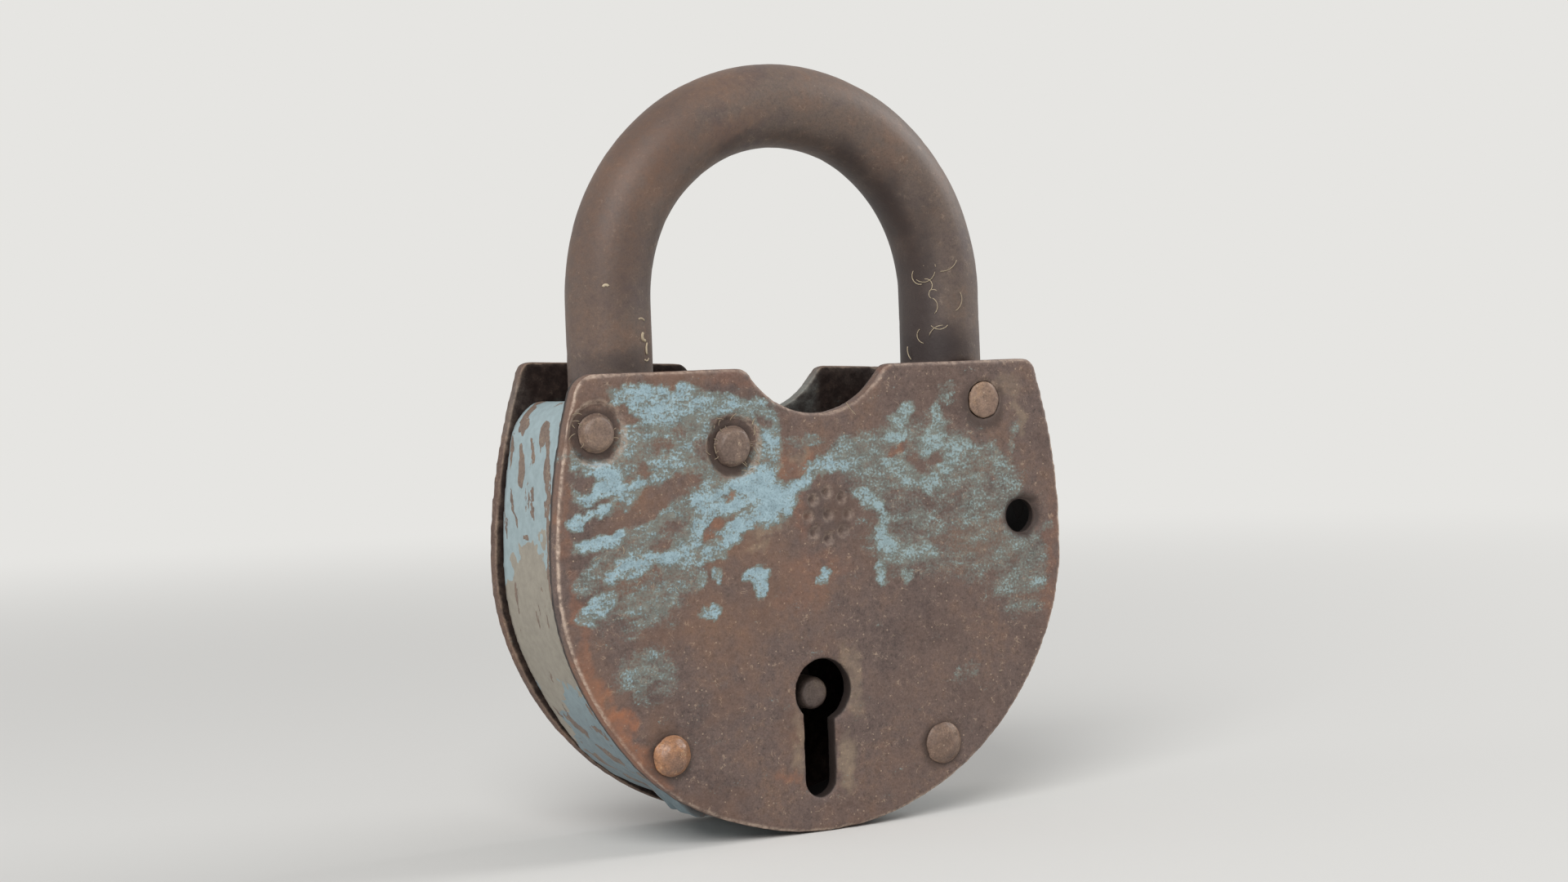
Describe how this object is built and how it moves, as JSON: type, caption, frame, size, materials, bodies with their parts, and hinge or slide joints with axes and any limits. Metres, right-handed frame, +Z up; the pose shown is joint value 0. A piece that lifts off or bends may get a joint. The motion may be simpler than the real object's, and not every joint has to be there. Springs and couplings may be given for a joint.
{
  "type": "padlock",
  "caption": "Riveted sheet-steel padlock with a pivoting round-bar shackle, sliding bolt and keyhole, rusty with worn light-blue paint.",
  "frame": {"origin": "top of the inside of the shackle's bow, in the middle of the bar's depth, where the lock hangs", "axes": "+X to the right seen from the keyhole side, +Y from the keyhole side to the back, +Z up along the shackle"},
  "size_m": [0.0829, 0.0256, 0.1093],
  "materials": {
    "front_plate_steel": "worn light-blue paint over rust-brown sheet steel",
    "rear_plate_steel": "worn light-blue paint over rust-brown sheet steel",
    "band_steel": "chipped light-blue paint over bare strip",
    "shackle_steel": "rust-brown forged bar",
    "rivet_steel": "rusty hammered heads",
    "post_steel": "dull brown",
    "inner_steel": "dark, dirty",
    "bolt_steel": "dark, dirty, worn on its sliding faces",
    "spring_steel": "dark spring strip"
  },
  "bodies": {
    "case": {"front_plate": "front_plate_steel", "rear_plate": "rear_plate_steel", "side_band": "band_steel", "pivot_rivet": "rivet_steel", "pivot_washer_front": "inner_steel", "pivot_washer_rear": "inner_steel", "toe_guide_rivet": "rivet_steel", "bolt_guide_rivet": "rivet_steel", "lower_left_rivet": "rivet_steel", "lower_right_rivet": "rivet_steel", "key_post": "post_steel", "front_ward": "inner_steel", "rear_ward": "inner_steel", "bolt_stud_left": "inner_steel", "bolt_stud_right": "inner_steel", "stud_washer_left": "inner_steel", "stud_washer_right": "inner_steel", "bolt_spring": "spring_steel"},
    "shackle": {"shackle": "shackle_steel"},
    "bolt": {"bolt": "bolt_steel"}
  },
  "joints": [
    {"name": "shackle_swing", "type": "hinge", "parent": "case", "child": "shackle", "pos_m": [0.0275, 0, -0.03735], "axis": [0, 1, 0], "range_deg": [0, 60]},
    {"name": "bolt_slide", "type": "slide", "parent": "case", "child": "bolt", "axis": [-1, 0, 0], "range_m": [0, 0.004]}
  ]
}
